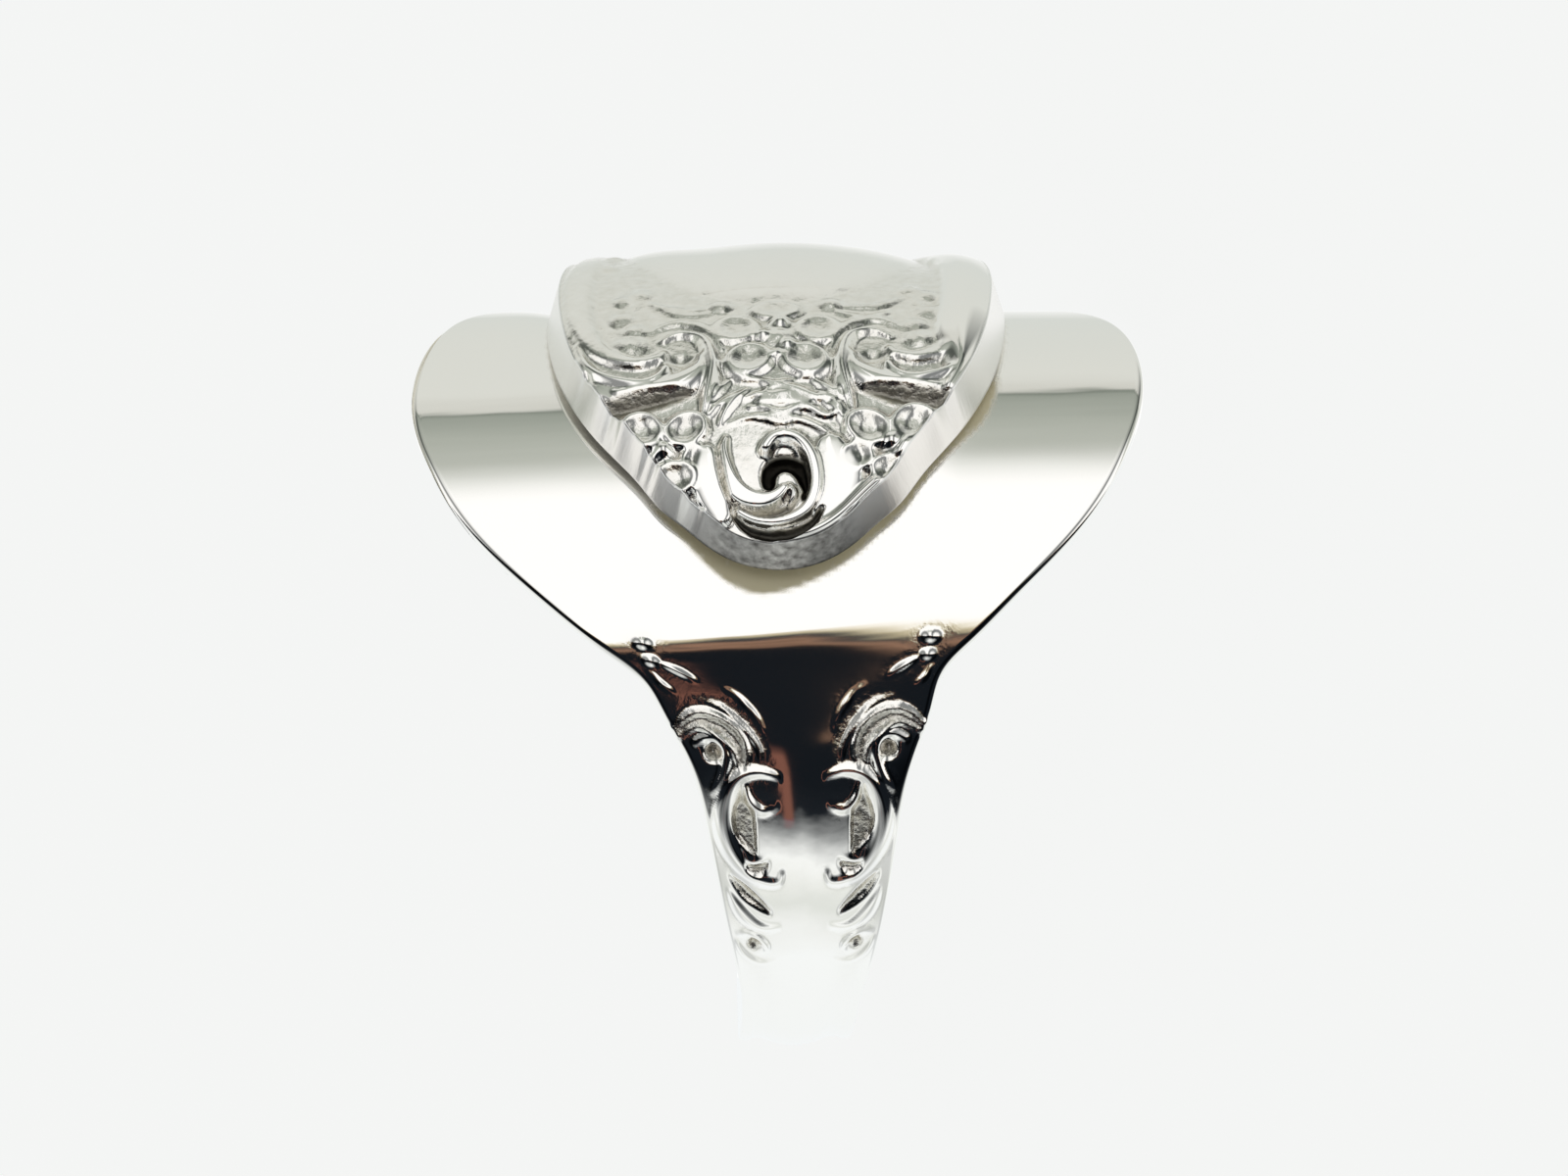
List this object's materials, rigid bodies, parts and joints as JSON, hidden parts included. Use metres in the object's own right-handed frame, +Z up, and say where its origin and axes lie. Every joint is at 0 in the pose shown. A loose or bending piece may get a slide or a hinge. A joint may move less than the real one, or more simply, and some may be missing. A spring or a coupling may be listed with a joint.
{
  "type": "spoon ring",
  "caption": "Whole small silver spoon wrapped into a finger ring: round bowl under a raised ornamental handle end, with a reeded shank.",
  "frame": {"origin": "centre of the footprint on the surface that the ring lies on, at the lowest point", "axes": "+Z up from the surface; -Y is the side that carries the neck and the handle end's tip; +X is the side of the handle end's plain oval panel"},
  "size_m": [0.0234, 0.022, 0.0186],
  "materials": {
    "silver": "polished sterling silver, with slightly dulled recesses and fine file marks on the handle end's edge"
  },
  "bodies": {
    "root": {"spoon_ring": "silver"}
  },
  "joints": []
}
